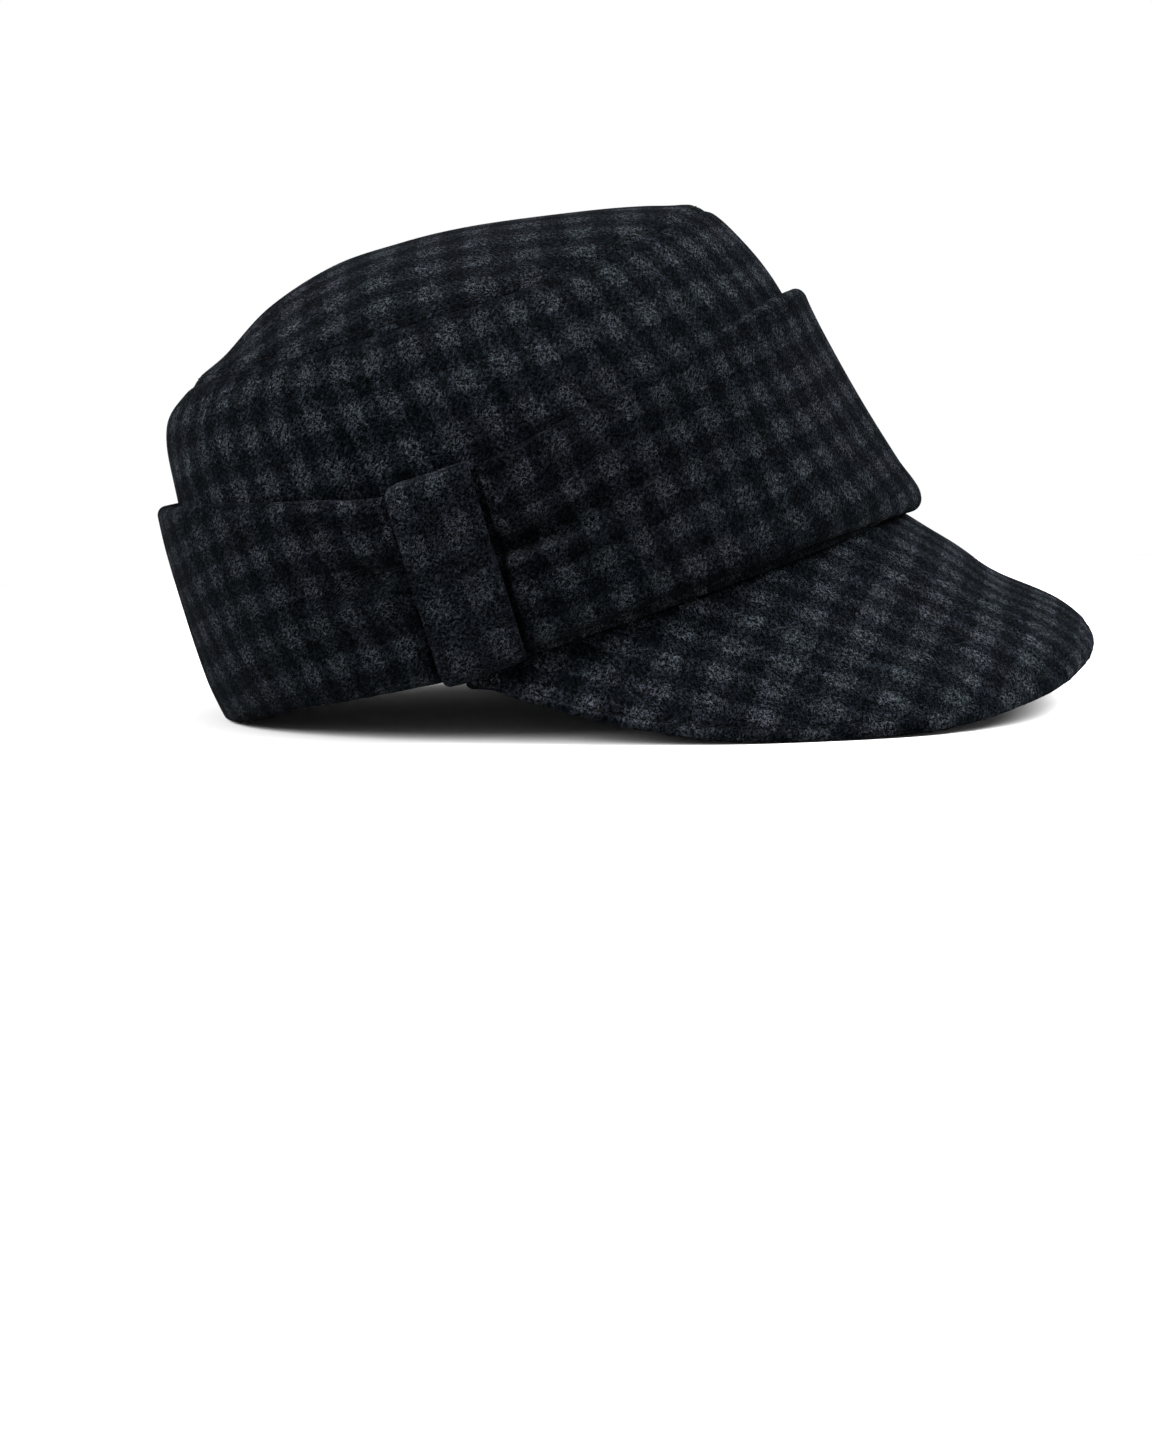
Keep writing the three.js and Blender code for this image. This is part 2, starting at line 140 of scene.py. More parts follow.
# The pinch at each loop, in millimetres. Its fade, clearances, places and widths beside the loop are in
# degrees from the loop's edge, and rise is in millimetres for each degree
PINCH_VALLEY_Z = 30.5
PINCH_DEPTH = 6.4
PINCH_BELOW = 1.7
PINCH_ABOVE = 3.6
PINCH_FRONT = dict(fade=17, rise=0.0, low_z=26.4, low=1.4, high_z=37.0, high=1.1)
PINCH_BACK = dict(fade=15, rise=0.22, low_z=25.6, low=1.6, high_z=39.5, high=0.6)
LIP_HALF_HEIGHT = 3.0
LIP_CLEAR = 0.9
LIP_GROW = 1.8
PRESS_DEPTH = 2.4
PRESS_PLACE = 0.1
PRESS_WIDTH = 0.55
UNDER_LOOP_FADE = 1.6
PRESS_SWELL = 0.35
LEAST_CLOTH = 1.2


# Curves through the tables

def hermite(b, slope_b, c, slope_c, t):
    """The smooth value a share t of the way from b to c."""
    t2, t3 = t * t, t * t * t
    return ((2 * t3 - 3 * t2 + 1) * b + (t3 - 2 * t2 + t) * slope_b
            + (3 * t2 - 2 * t3) * c + (t3 - t2) * slope_c)


def row_at(rows, place):
    """The columns of a table at fractional row numbers."""
    place = np.asarray(place, float)
    last = len(rows["front"]) - 1
    i = np.clip(np.floor(place).astype(int), 0, last - 1)
    t = place - i
    found = {}
    for name, values in rows.items():
        ends = np.concatenate([[2 * values[0] - values[1]], values, [2 * values[-1] - values[-2]]])
        a, b, c, d = (ends[i + k] for k in range(4))
        found[name] = hermite(b, (c - a) / 2, c, (d - b) / 2, t)
    return found


def row_by_key(rows, key, value, level_start=False, level_end=False):
    """The columns of a table where its key column has a value, evened for unequal steps."""
    value = np.asarray(value, float)
    keys = rows[key]
    i = np.clip(np.searchsorted(keys, value, side="left") - 1, 0, len(keys) - 2)
    step = keys[i + 1] - keys[i]
    t = np.clip((value - keys[i]) / step, 0, 1)
    found = {}
    for name, values in rows.items():
        index = np.arange(len(keys))
        low, high = np.maximum(index - 1, 0), np.minimum(index + 1, len(keys) - 1)
        slopes = (values[high] - values[low]) / (keys[high] - keys[low])
        if level_start:
            slopes[0] = 0
        if level_end:
            slopes[-1] = 0
        found[name] = hermite(values[i], slopes[i] * step, values[i + 1], slopes[i + 1] * step, t)
    return found


def folded(angle):
    """The same angle on the half ring that the tables describe."""
    turn = np.mod(angle, 360)
    return np.where(turn > 180, 360 - turn, turn)


def heights(angle):
    return row_by_key(HEIGHTS, "angle", folded(angle), level_start=True, level_end=True)


def oval_middle(row):
    return (row["front"] + row["back"]) / 2


def oval_reach(row):
    """Half of an oval's length, from its middle to its front."""
    return (row["front"] - row["back"]) / 2


def oval_point(angle, front, back, half, z):
    """A point of an oval ring that crosses the middle line at front and back."""
    a = np.radians(angle)
    x = -half * np.sin(a) * (1 - EGG * np.cos(a))
    y = -((front + back) / 2 + (front - back) / 2 * np.cos(a))
    return np.stack(np.broadcast_arrays(x, y, z), -1)


def crown_point(angle, place):
    row = row_at(CROWN, place)
    c = np.cos(np.radians(angle))
    end = np.where(c > 0, row["front_z"], row["back_z"])
    z = end * c * c + row["side_z"] * (1 - c * c)
    return oval_point(angle, row["front"], row["back"], row["half"], z)


def crown_place_at(angle, height):
    """The crown wall's place, in rows, at a height."""
    shape = np.broadcast_shapes(np.shape(angle), np.shape(height))
    low, high = np.full(shape, -0.2), np.full(shape, float(SEAM_ROW))
    for _ in range(26):
        middle = (low + high) / 2
        below = crown_point(angle, middle)[..., 2] < height
        low, high = np.where(below, middle, low), np.where(below, high, middle)
    return low


# Vectors and smooth steps

def unit(v):
    return v / np.maximum(np.linalg.norm(v, axis=-1, keepdims=True), 1e-9)


def surface_normal(point_at, u, v, du, dv, outward):
    across = point_at(u + du, v) - point_at(u - du, v)
    along = point_at(u, v + dv) - point_at(u, v - dv)
    normal = unit(np.cross(across, along))
    facing = np.sum(normal * outward, -1, keepdims=True)
    return np.where(facing < 0, -normal, normal)


def crown_normal(angle, place):
    place = np.minimum(place, TIP_MIDDLE_ROW - 0.02)
    point = crown_point(angle, place)
    outward = np.stack([point[..., 0], point[..., 1], np.maximum(point[..., 2] - 40, 0)], -1)
    return surface_normal(crown_point, angle, place, 0.5, 0.01, outward)


def hump(value, at, half_width):
    """A soft hump of height 1."""
    return np.exp(-(((value - at) / half_width) ** 2))


def ramp(value, start, end):
    """0 before start, 1 after end, and smooth between them."""
    t = np.clip((value - start) / (end - start), 0, 1)
    return t * t * (3 - 2 * t)


def ripple(x, y, seed):
    """Gentle unevenness from -1 to 1 over two coordinates, the same each run."""
    rng = np.random.default_rng(seed)
    total = np.zeros(np.broadcast_shapes(np.shape(x), np.shape(y)))
    for _ in range(6):
        turn, phase = rng.uniform(0, 2 * math.pi, 2)
        rate = rng.uniform(0.6, 1.5)
        total = total + np.sin(rate * (x * math.cos(turn) + y * math.sin(turn)) * 2 * math.pi + phase)
    return total / 3.2


def ring_ripple(angle, other, waves, seed):
    """Gentle unevenness from -1 to 1 that closes on itself round a ring, with about this many waves."""
    rng = np.random.default_rng(seed)
    total = np.zeros(np.broadcast_shapes(np.shape(angle), np.shape(other)))
    for _ in range(6):
        count = rng.integers(round(0.6 * waves), round(1.5 * waves) + 1)
        rate, phase = rng.uniform(-1.2, 1.2), rng.uniform(0, 2 * math.pi)
        total = total + np.sin(np.radians(angle) * count + other * rate * 2 * math.pi + phase)
    return total / 3.2


def from_front(ring, angles):
    """Distance round a closed ring of points from the front: positive to the right, negative to the left."""
    around = arc_length(np.concatenate([ring, ring[:1]]), 0)
    return np.where(angles > 180, around[:-1] - around[-1], around[:-1])


def back_seam(around):
    """The shallow groove of the seam down the middle of the back, by distance from the front."""
    return BACK_SEAM_DIP * hump(np.abs(around), np.abs(around).max(), BACK_SEAM_WIDTH)


def arc_length(points, axis):
    """Distance along one axis of a grid of points, from its first line."""
    step = np.linalg.norm(np.diff(points, axis=axis), axis=-1)
    start = np.zeros_like(np.take(step, [0], axis=axis))
    return np.concatenate([start, np.cumsum(step, axis=axis)], axis=axis)


# The crown

HALF_RING = np.append(np.arange(0, 179, 1.2), BACK_SEAM_EDGE)
RING = np.concatenate([HALF_RING, [180], 360 - HALF_RING[:0:-1]])
SIDE_ROWS = 96
TIP_ROWS = 72

# The tip's seam, the stitched groove beside it, and how the cloth puckers and sags
SEAM_DIP = 0.6
SEAM_DIP_WIDTH = 1.7
TOPSTITCH_FROM_SEAM = 2.6
TOPSTITCH_DEPTH = 0.3
TOPSTITCH_WIDTH = 0.9
SIDE_PUCKER = 0.16
SIDE_SAG = 0.55
TIP_PUCKER = 0.18
TIP_SAG = 0.5


def crown_side_sheet():
    """The wall's outer and inner faces, and the cloth's coordinates on the outer one."""
    start = crown_place_at(RING, heights(RING)["foot"] + CUFF_FOOT + GAP)
    share = np.linspace(0, 1, SIDE_ROWS)[:, None]
    place = start + (SEAM_ROW - start) * share
    angle = np.broadcast_to(RING, place.shape)
    outer = crown_point(angle, place)
    normal = crown_normal(angle, place)
    up = arc_length(outer, 0)
    from_seam = up[-1] - up
    around = np.broadcast_to(from_front(outer[SIDE_ROWS // 2], RING), place.shape)
    dip = SEAM_DIP * hump(from_seam, 0, SEAM_DIP_WIDTH) + back_seam(around)
    pucker = SIDE_PUCKER * ring_ripple(angle, from_seam / 60, 48, 3) * hump(from_seam, 2.5, 5)
    sag = SIDE_SAG * ring_ripple(angle, up / 45, 7, 4) * ramp(from_seam, 2, 14)
    relief = sag + pucker - dip
    outer = outer + normal * relief[..., None]
    inner = outer - normal * WOOL
    return outer, inner, np.stack([around, up], -1)


def crown_tip_sheet():
    """The tip's outer and inner faces from the seam inward, and the cloth's coordinates."""
    place = SEAM_ROW + 0.004 + (TIP_MIDDLE_ROW - SEAM_ROW - 0.10) * np.linspace(0, 1, TIP_ROWS)[:, None]
    angle = np.broadcast_to(RING, (TIP_ROWS, len(RING)))
    place = np.broadcast_to(place, angle.shape)
    outer = crown_point(angle, place)
    normal = crown_normal(angle, place)
    inward = arc_length(outer, 0)
    dip = SEAM_DIP * hump(inward, 0, SEAM_DIP_WIDTH)
    groove = TOPSTITCH_DEPTH * hump(inward, TOPSTITCH_FROM_SEAM, TOPSTITCH_WIDTH)
    pucker = TIP_PUCKER * ring_ripple(angle, inward / 50, 52, 7) * hump(inward, 3.5, 4)
    sag = TIP_SAG * ripple(outer[..., 0] / 80, outer[..., 1] / 80, 8) * ramp(inward, 3, 16)
    outer = outer + normal * (sag + pucker - dip - groove)[..., None]
    inner = outer - normal * WOOL
    return outer, inner, np.stack([outer[..., 0], -outer[..., 1]], -1)


# The cuff and what holds it

def cuff_row(share):
    return row_by_key(CUFF, "share", np.clip(share, 0, 1))


def cut_angle(angle, row):
    """The ring angle, at a height, of a cut that stands upright across the cap at the sides."""
    sine = np.sin(np.radians(angle))
    upright = np.clip(2 * sine * sine - 0.5, 0, 1)
    half_way = cuff_row(0.5)
    forward = oval_middle(half_way) + oval_reach(half_way) * np.cos(np.radians(angle))
    cosine = (forward - oval_middle(row)) / oval_reach(row)
    turn = np.sign(sine) * np.degrees(np.arccos(np.clip(cosine, -1, 1)))
    signed = np.where(angle > 180, angle - 360, angle)
    return signed + (turn - signed) * upright


def beyond_loop(angle):
    """How many degrees beyond a keeper loop's nearer edge a ring angle lies."""
    turn = folded(angle)
    return np.maximum(np.maximum(LOOP_FROM - turn, turn - LOOP_TO), 0)


def under_loop(angle):
    """0 outside a keeper loop and at its edges, and 1 well under it."""
    turn = folded(angle)
    return ramp(np.minimum(turn - LOOP_FROM, LOOP_TO - turn), 0, UNDER_LOOP_FADE)


def pinch(angle, z):
    """How far the cuff's face stands out or in at the pinches beside a keeper loop."""
    beyond = beyond_loop(angle)
    total = 0
    in_front = folded(angle) < (LOOP_FROM + LOOP_TO) / 2
    for side, here in ((PINCH_FRONT, in_front), (PINCH_BACK, ~in_front)):
        fade = np.exp(-((beyond / side["fade"]) ** 2))
        from_valley = z - PINCH_VALLEY_Z - side["rise"] * beyond
        spread = np.where(from_valley < 0, PINCH_BELOW, PINCH_ABOVE) + 0.10 * beyond
        valley = PINCH_DEPTH * hump(from_valley, 0, spread)
        grow = np.clip((beyond - LIP_CLEAR) / LIP_GROW, 0, 1)
        low = side["low"] * hump(z, side["low_z"], LIP_HALF_HEIGHT)
        high = side["high"] * hump(z, side["high_z"], LIP_HALF_HEIGHT)
        total = total + np.where(here, fade * (grow * (low + high) - valley), 0)
    return total


def tuck_room(angle, z, top):
    """The room left behind the cuff's top for a loop's tucked end."""
    sideways = np.clip(1.4 - beyond_loop(angle) / LOOP_TUCK_FADE, 0, 1)
    upward = np.clip((z - (top - LOOP_TUCK - 6)) / 4, 0, 1)
    return LOOP_TUCK_ROOM * sideways * upward


FINE_STEPS = 300
PINCH_CLOSER = 1.7
PINCH_CLOSE_HEIGHT = 6.5


class CuffCut:
    """The cuff cut across at ring angles, one column for each, for heights given in rows."""

    def __init__(self, angle):
        self.angle = np.asarray(angle, float)[:, None]
        row = heights(self.angle)
        self.fold = row["fold"]
        self.top = row["top"]
        self.foot = row["foot"]
        self.thickness = row["thickness"]

    def row(self, z):
        return cuff_row((z - self.fold) / (self.top - self.fold))

    def turn(self, z):
        return cut_angle(self.angle, self.row(z))

    def wall(self, z):
        turn = self.turn(z)
        return crown_point(turn, crown_place_at(turn, z))

    def face(self, z):
        row = self.row(z)
        return oval_point(cut_angle(self.angle, row), row["front"], row["back"], row["half"], z)

    def outward(self, z):
        return (self.face(z) - self.wall(z)) * (1, 1, 0)

    def place(self, z, off):
        """The point that stands a distance off the crown's wall."""
        point = self.wall(z)
        point[..., 2] = z
        return point + unit(self.outward(z)) * off[..., None]

    def outer(self, z):
        return np.linalg.norm(self.outward(z), axis=-1)

    def room(self, z):
        return CUFF_GAP + tuck_room(self.angle, z, self.top)

    def inner(self, z):
        return np.maximum(self.room(z), self.outer(z) - self.thickness)

    def relieved(self, z, shift):
        """The face's distance off the wall once creases are pressed into it."""
        return np.maximum(self.outer(z) + shift, self.room(z) + LEAST_CLOTH)

    def spaced(self, start, end, count):
        """Heights from start to end in each column, closest together where the pinches are."""
        even = start + (end - start) * np.linspace(0, 1, FINE_STEPS)[None, :]
        close = np.cumsum(1 + PINCH_CLOSER * hump(even, PINCH_VALLEY_Z, PINCH_CLOSE_HEIGHT), axis=1)
        share = (close - close[:, :1]) / (close[:, -1:] - close[:, :1])
        steps = np.linspace(0, 1, count)
        return np.array([np.interp(steps, share[i], even[i]) for i in range(len(even))])


# How far a fold stands up for the cloth's thickness, and the steps down the hidden inner face
ROLL_SHARE = 0.56
BACK_STEPS = 26


def cuff_section(angle, shift_at, face_steps=64, roll_steps=12):
    """Points round each cut, and the first and last of them that a keeper loop follows."""
    cut = CuffCut(angle)
    columns = len(cut.angle)
    rise = ROLL_SHARE * cut.thickness
    low_z = np.maximum(cut.fold + rise, cut.foot + CUFF_FOOT + 1)
    foot_inner = np.full((columns, 1), -WOOL)

    def roll(centre_z, start, end):
        half = (cut.outer(centre_z) - cut.inner(centre_z)) / 2
        middle = (cut.outer(centre_z) + cut.inner(centre_z)) / 2
        turn = np.radians(np.linspace(start, end, roll_steps + 1))[None, :]
        centre = np.broadcast_to(centre_z, (columns, roll_steps + 1))
        off = middle + half * np.cos(turn) + shift_at(cut.angle, centre)
        points = cut.place(centre, np.broadcast_to(off, centre.shape))
        points[..., 2] = centre + rise * np.sin(turn)
        return points

    foot_low = [cut.place(cut.foot, foot_inner), cut.place(cut.foot, cut.inner(low_z) + 0.2)]
    low_roll = roll(cut.fold + rise, 205, 345)
    start, end = cut.fold + rise + 0.5, cut.top - rise - 0.5
    z = cut.spaced(start, end, face_steps)
    face = cut.place(z, cut.relieved(z, shift_at(cut.angle, z)))
    high_roll = roll(cut.top - rise, 0, 180)
    loop_start = cut.top - LOOP_TUCK
    down = cut.spaced(cut.foot + CUFF_FOOT + 4, loop_start, BACK_STEPS)[:, ::-1]
    behind_face = cut.relieved(down, shift_at(cut.angle, down)) - LEAST_CLOTH
    back = cut.place(down, np.minimum(cut.inner(down), behind_face))
    foot_high = [cut.place(cut.foot + CUFF_FOOT, off) for off in (cut.inner(low_z), foot_inner)]
    points = np.concatenate([*foot_low, low_roll, face, high_roll, back, *foot_high], axis=1)
    first = 2 + 1
    last = 2 + low_roll.shape[1] + face_steps + high_roll.shape[1]
    return points, first, last


def cuff_ring():
    """Ring angles, closest together beside the keeper loops' edges."""
    near = np.array([-3, -2.4, -1.9, -1.5, -1.2, -0.95, -0.75, -0.55, -0.4, -0.25, -0.1, 0.1, 0.3, 0.6, 1.0])
    half = np.concatenate([
        np.arange(0, 76, 1.5), np.arange(76, LOOP_FROM - 3.4, 0.7), LOOP_FROM + near, [LOOP_FROM + 2.2],
        np.arange(LOOP_FROM + 3.6, LOOP_TO - 2.4, 1.5), [LOOP_TO - 1.8], LOOP_TO - near[::-1],
        np.arange(LOOP_TO + 3.6, 136, 0.7), np.arange(137, 179, 1.5), [BACK_SEAM_EDGE]])
    return np.concatenate([half, [180], 360 - half[:0:-1]])


CUFF_RING = cuff_ring()
CUFF_MIDDLE_POINT = 45
CUFF_SAG = 0.5
CUFF_EDGE_SAG = 0.3


def cuff_relief(angle, z):
    """The pinches beside the loops, and the soft unevenness of the turned-up cloth."""
    row = heights(angle)
    beyond = beyond_loop(angle)
    share = (z - row["fold"]) / (row["top"] - row["fold"])
    uneven = CUFF_SAG * ring_ripple(angle, share / 2.2, 9, 11) * ramp(beyond, 1, 12)
    edge = CUFF_EDGE_SAG * ring_ripple(angle, share / 3, 26, 12) * hump(share, 1.0, 0.16)
    swell = PRESS_SWELL * hump(beyond, 4.5, 3)
    pressed = swell - PRESS_DEPTH * hump(beyond, PRESS_PLACE, PRESS_WIDTH)
    seam = BACK_SEAM_DIP * hump(folded(angle), 180, CUFF_SEAM_DEGREES)
    return (pinch(angle, z) + pressed) * (1 - under_loop(angle)) + uneven + edge - seam


def no_relief(angle, z):
    return np.zeros(np.broadcast_shapes(np.shape(angle), np.shape(z)))


LOOP_RIM = 1.2
LOOP_RIM_DROP = 0.8
LOOP_RIM_LIFT = 0.6
LOOP_CROWN = 0.45
LOOP_SAG = 0.35


def keeper_loop_sheet(side):
    """A strap round the cuff: its two faces, and the cloth's coordinates across and along it."""
    rim = np.array([0, 0.12, 0.35, 0.7, LOOP_RIM]) / LOOP_WIDTH
    across = np.concatenate([rim, np.linspace(0, 1, 25)[2:-2], 1 - rim[::-1]])
    angle = side * (LOOP_FROM + (LOOP_TO - LOOP_FROM) * across)
    points, first, last = cuff_section(np.mod(angle, 360), no_relief, face_steps=44, roll_steps=10)
    path = points[:, first:last + 1]
    along = np.gradient(path, axis=1)
    around = unit(np.stack([-points[:, 0, 1], points[:, 0, 0], np.zeros(len(angle))], -1))[:, None]
    normal = unit(np.cross(around, along))
    length = arc_length(path, 1)
    width = (across * LOOP_WIDTH)[:, None]
    edge = np.minimum(width, LOOP_WIDTH - width)
    rounding = 1 - np.sqrt(np.clip(1 - (1 - np.clip(edge / LOOP_RIM, 0, 1)) ** 2, 0, 1))
    crown = LOOP_CROWN * ramp(edge, 0, 5) - LOOP_RIM_DROP * rounding
    uneven = LOOP_SAG * ripple(width / 30, length / 40, 21) * ramp(edge, 0, 4)
    inner = path + normal * (CUFF_GAP + LOOP_RIM_LIFT * rounding)[..., None]
    outer = path + normal * (CUFF_GAP + LOOP_WOOL + crown + uneven)[..., None]
    cloth = np.stack(np.broadcast_arrays(width, length), -1)
    return outer, inner, cloth


# The peak

PEAK_STEPS = 221
PEAK_ROWS = 44
PEAK_EDGE_BAND = 7.0

# The stitched edge: the groove's place and depth, the swell outside it, and the turned rim
PEAK_STITCH_FROM_EDGE = 5.0
PEAK_STITCHED_REACH = 16
PEAK_GROOVE = 0.4
PEAK_SWELL = 0.35
PEAK_RIM_DROP = 0.7
PEAK_PUCKER = 0.22
PEAK_SAG = 0.5

# The front half of the edge lifts a little, with a slight hollow behind it
PEAK_FLARE_RISE = 1.6
PEAK_HOLLOW = 1.1
PEAK_FORWARD_DEGREES = 38


def peak_point(angle, distance):
    """A ring angle, and a distance from the sewn edge down the slope."""
    row = row_by_key(PEAK, "angle", np.abs(angle), level_start=True)
    front, back, half = (CROWN[name][0] for name in ("front", "back", "half"))
    z = heights(angle)["foot"] - SEWN_GAP
    root = oval_point(angle, front, back, half, z)
    around = oval_point(angle + 0.1, front, back, half, z) - oval_point(angle - 0.1, front, back, half, z)
    out = unit(np.stack([-around[..., 1], around[..., 0], np.zeros(around.shape[:-1])], -1))
    facing = np.sum(out * root * (1, 1, 0), -1, keepdims=True)
    out = np.where(facing < 0, -out, out)
    away = unit(np.array((0.0, -1.0, 0.0)) * (1 - PEAK_FLARE) + out * PEAK_FLARE)
    down = np.maximum(distance, 0)
    bend = row["curl"] * (down / row["reach"]) ** CURL_POWER
    flat = down * math.cos(PEAK_SLOPE) - bend * math.sin(PEAK_SLOPE)
    drop = down * math.sin(PEAK_SLOPE) + bend * math.cos(PEAK_SLOPE)
    point = root + away * flat[..., None] + out * np.minimum(distance, 0)[..., None]
    point[..., 2] -= drop
    return point


def peak_reach(angle):
    return row_by_key(PEAK, "angle", np.abs(angle), level_start=True)["reach"]


def peak_grid(steps, rows):
    """Angles and distances over the peak, closer together near its edge."""
    angle = np.linspace(-PEAK_END_ANGLE, PEAK_END_ANGLE, steps)[:, None]
    reach = peak_reach(angle)
    band = np.minimum(PEAK_EDGE_BAND * 1.4, reach * 0.5)
    inside = np.linspace(0, 1, rows)[None, 1:] * (reach - band)
    edge = reach - band * (1 - np.linspace(0, 1, rows // 2)[None, 1:])
    distance = np.concatenate([np.full((steps, 1), -WOOL), np.zeros((steps, 1)), inside, edge], axis=1)
    return np.broadcast_to(angle, distance.shape), distance, reach


def peak_normal(angle, distance):
    a = np.radians(angle)
    up_and_out = np.stack([-np.sin(a), -np.cos(a), np.ones_like(a)], -1)
    normal = surface_normal(peak_point, angle, np.maximum(distance, 0.6), 0.3, 0.3, up_and_out)
    lean = np.clip((distance + WOOL) / (WOOL + PEAK_ROOT_BEND), 0, 1)[..., None]
    return unit(np.array((0.0, 0.0, 1.0)) * (1 - lean) + normal * lean)


def unrolled(angle, distance):
    """The peak's cloth laid flat, outward from its centre line."""
    angles = angle[:, 0]
    middle = len(angles) // 2
    roots = peak_point(angles, np.zeros(len(angles)))
    tips = peak_point(angles, peak_reach(angles) * 0.8)
    flat_root, flat_tip = np.zeros((len(angles), 2)), np.zeros((len(angles), 2))
    flat_tip[middle] = (0, np.linalg.norm(tips[middle] - roots[middle]))

    def apart(a, b):
        return np.linalg.norm(a - b)

    def meet(a, b, from_a, from_b, side):
        """The point at two distances from two points, on one side of the line between them."""
        line = b - a
        length = np.linalg.norm(line)
        x = (from_a ** 2 - from_b ** 2 + length ** 2) / (2 * length)
        y = math.sqrt(max(from_a ** 2 - x ** 2, 0))
        along = line / length
        return a + along * x + side * y * np.array((-along[1], along[0]))

    for step in (1, -1):
        i = middle
        while 0 <= i + step < len(angles):
            j = i + step
            a, b = flat_root[i], flat_tip[i]
            flat_root[j] = meet(a, b, apart(roots[j], roots[i]), apart(roots[j], tips[i]), step)
            flat_tip[j] = meet(b, flat_root[j], apart(tips[j], tips[i]), apart(tips[j], roots[j]), -step)
            i = j
    along = flat_tip - flat_root
    length = np.linalg.norm(along, axis=-1, keepdims=True)
    return flat_root[:, None] + (along / length)[:, None] * distance[..., None]


def peak_sheet(depth, thickness, stitched):
    """A layer of the peak at a depth below its upper face: its two faces, and the cloth's coordinates."""
    angle, distance, reach = peak_grid(PEAK_STEPS, PEAK_ROWS)
    normal = peak_normal(angle, distance)
    point = peak_point(angle, distance)
    from_edge = reach - distance
    cloth = unrolled(angle, distance)
    forward = hump(angle, 0, PEAK_FORWARD_DEGREES)
    flare = PEAK_FLARE_RISE * ramp(from_edge, 32, 13) * (0.3 + 0.7 * ramp(from_edge, 0, 6))
    hollow = PEAK_HOLLOW * hump(from_edge, 38, 9)
    point = point + normal * ((flare - hollow) * forward)[..., None]
    relief = np.zeros_like(distance)
    if stitched:
        full = ramp(reach, 8, 22)
        band = ramp(from_edge, PEAK_STITCH_FROM_EDGE + 4, PEAK_STITCH_FROM_EDGE) * full
        around = angle * 1.9
        groove = PEAK_GROOVE * hump(from_edge, PEAK_STITCH_FROM_EDGE, 0.8) * full
        puckers = PEAK_PUCKER * ripple(around / 9, from_edge / 40, 31) * band
        swell = PEAK_SWELL * hump(from_edge, PEAK_STITCH_FROM_EDGE - 2.6, 1.9) * full
        turned = PEAK_RIM_DROP * (1 - ramp(from_edge, 0, 1.6)) * full
        uneven = PEAK_SAG * ripple(cloth[..., 0] / 70, cloth[..., 1] / 60, 32) * ramp(distance, 4, 16)
        relief = uneven + puckers + swell - groove - turned
    top = point + normal * (relief - depth)[..., None]
    under = point - normal * (depth + thickness)
    return top, under, cloth


# Lines that the stitches follow

def point_at(place, places, points):
    """The point of a line at one place, from the line's points and their places."""
    return [np.interp(place, places, points[:, k]) for k in range(3)]


def tip_stitch_line(outer, inner):
    """The groove beside the tip's seam, all the way round, and the way out of the cloth there."""
    inward = arc_length(outer, 0)

    def at_groove(values):
        columns = range(values.shape[1])
        found = [point_at(TOPSTITCH_FROM_SEAM, inward[:, c], values[:, c]) for c in columns]
        return np.array(found + found[:1])

    line = at_groove(outer)
    return line, unit(line - at_groove(inner))


def peak_stitch_line():
    """The groove inside the peak's edge, between the places where it runs out at the sides."""
    top, under, _ = peak_sheet(0.0, PEAK_TOP_WOOL, True)
    _, distance, reach = peak_grid(PEAK_STEPS, PEAK_ROWS)
    to_edge = distance - reach
    lines = [i for i in range(PEAK_STEPS) if reach[i, 0] > PEAK_STITCHED_REACH]

    def at_groove(values):
        return np.array([point_at(-PEAK_STITCH_FROM_EDGE, to_edge[i], values[i]) for i in lines])

    line = at_groove(top)
    return line, unit(line - at_groove(under))


# Laying the cap down

def tilted(points):
    """Points of the cap's own frame, tilted as it lies, in metres."""
    x, y, z = np.moveaxis(points * MM, -1, 0)
    c, s = math.cos(REST_TILT), math.sin(REST_TILT)
    return np.stack([x, y * c + z * s, z * c - y * s], -1)


def resting_shift():
    """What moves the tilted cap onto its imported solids, told by the front of the crown's wall."""
    start = crown_place_at(0.0, heights(0.0)["foot"] + CUFF_FOOT + GAP)
    low_front, high_front = tilted(crown_point(0.0, start)), tilted(crown_point(0.0, SEAM_ROW - 0.0075))
    low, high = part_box("crown_side")
    return np.array((0.0, low.y - low_front[1], high.z - high_front[2]))


def laid_down(points, shift):
    """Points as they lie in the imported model's frame, with the lowest cloth pressed softly flat."""
    placed = tilted(points) + shift
    soft = PRESS_SOFTNESS * MM
    z = placed[..., 2]
    pressed = (z + np.sqrt(z * z + soft * soft)) / 2
    near = ramp(z, 12 * MM, 4 * MM)
    placed[..., 2] = z + (pressed - z) * near
    return placed


# Meshes

